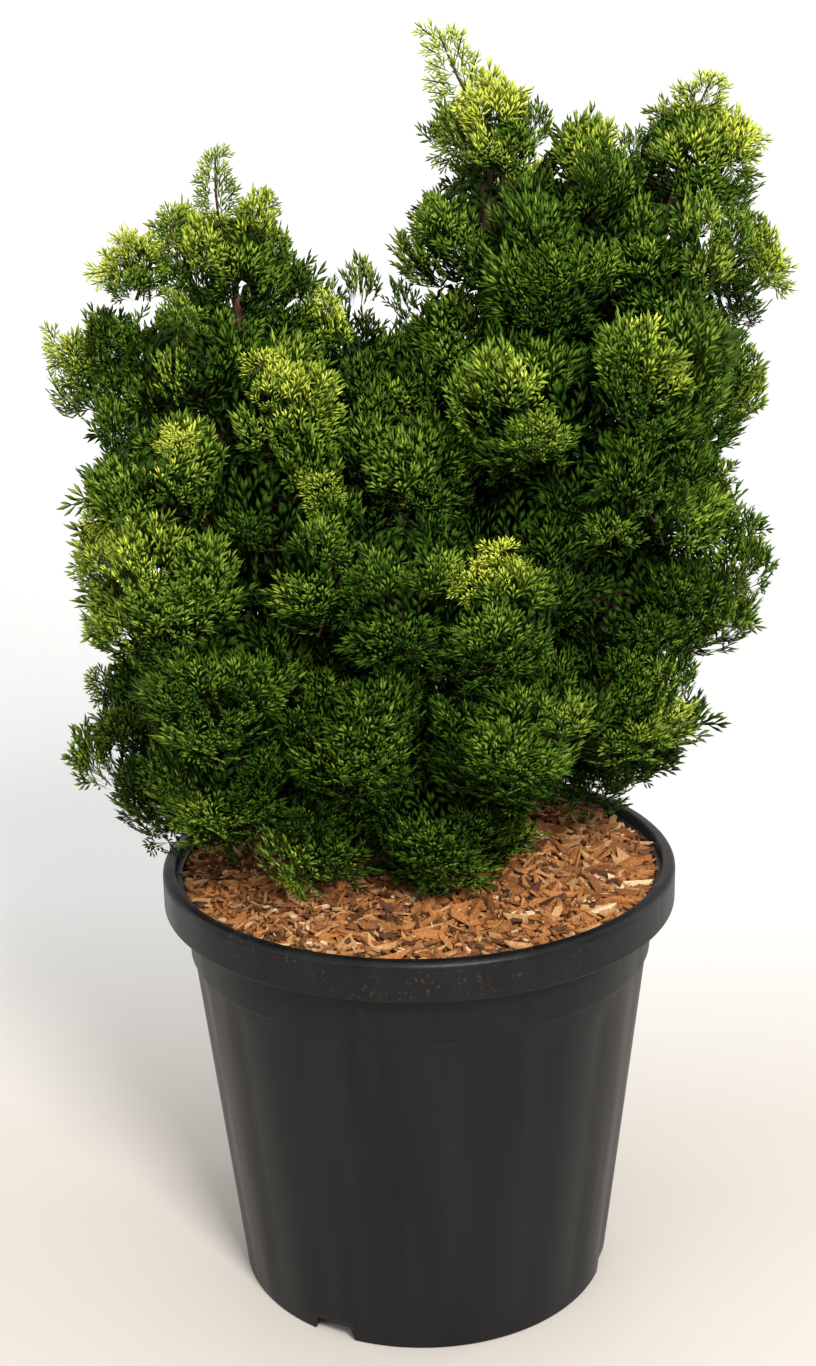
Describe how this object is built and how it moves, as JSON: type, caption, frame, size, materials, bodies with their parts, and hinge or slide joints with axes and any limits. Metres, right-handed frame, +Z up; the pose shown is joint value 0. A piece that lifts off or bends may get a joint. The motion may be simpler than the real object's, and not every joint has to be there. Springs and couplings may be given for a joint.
{
  "type": "potted hinoki cypress",
  "caption": "Dense dwarf conifer with gold-tipped fan sprays and a notched crown, growing through bark mulch in a round black nursery pot.",
  "frame": {"origin": "centre of the flat disc on the pot's underside", "axes": "+Z up along the pot's axis, +X to the right seen from the front, the front of the plant facing -Y"},
  "size_m": [0.4494, 0.332, 0.804],
  "materials": {
    "pot_plastic": "satin near-black plastic with faint scuffs",
    "soil": "dark moist potting soil",
    "bark_chips": "rough orange-brown shredded bark",
    "bark": "fibrous red-brown bark",
    "foliage": "satin scale leaves, deep green with bright green tips",
    "foliage_gold": "satin scale leaves, lime to gold at the tips"
  },
  "bodies": {
    "root": {"pot": "pot_plastic", "root_ball": "soil", "bark_mulch": "bark_chips", "trunk": "bark", "left_leader": "bark", "right_leader": "bark", "front_leader": "bark", "back_leader": "bark", "right_side_leader": "bark", "left_wing_bough": "bark", "left_cheek_bough": "bark", "left_cheek_low_bough": "bark", "low_left_bough": "bark", "front_right_bough": "bark", "right_low_bough": "bark", "right_hip_bough": "bark", "right_fan_bough": "bark", "right_ear_bough": "bark", "back_left_bough": "bark", "back_right_bough": "bark", "left_crest": "foliage_gold", "left_wing": "foliage", "left_shoulder": "foliage", "left_inner": "foliage", "left_front": "foliage", "left_cheek": "foliage", "left_cheek_low": "foliage", "front_left": "foliage", "front_centre": "foliage", "centre": "foliage", "low_front": "foliage", "front_right": "foliage_gold", "low_centre": "foliage", "low_front_left": "foliage", "low_left": "foliage", "right_column": "foliage", "right_inner": "foliage", "right_top": "foliage", "right_crest": "foliage_gold", "right_ear": "foliage", "right_side": "foliage", "right_fan": "foliage", "right_chest": "foliage", "right_belly": "foliage", "right_middle": "foliage", "right_hip": "foliage", "right_low": "foliage", "right_low_back": "foliage", "back_left_crest": "foliage", "back_left_high": "foliage", "back_left": "foliage", "back_left_low": "foliage", "back_middle": "foliage", "back_low": "foliage", "back_low_right": "foliage", "back_right_low": "foliage", "back_right": "foliage", "back_right_high": "foliage", "back_right_crest": "foliage"}
  },
  "joints": []
}
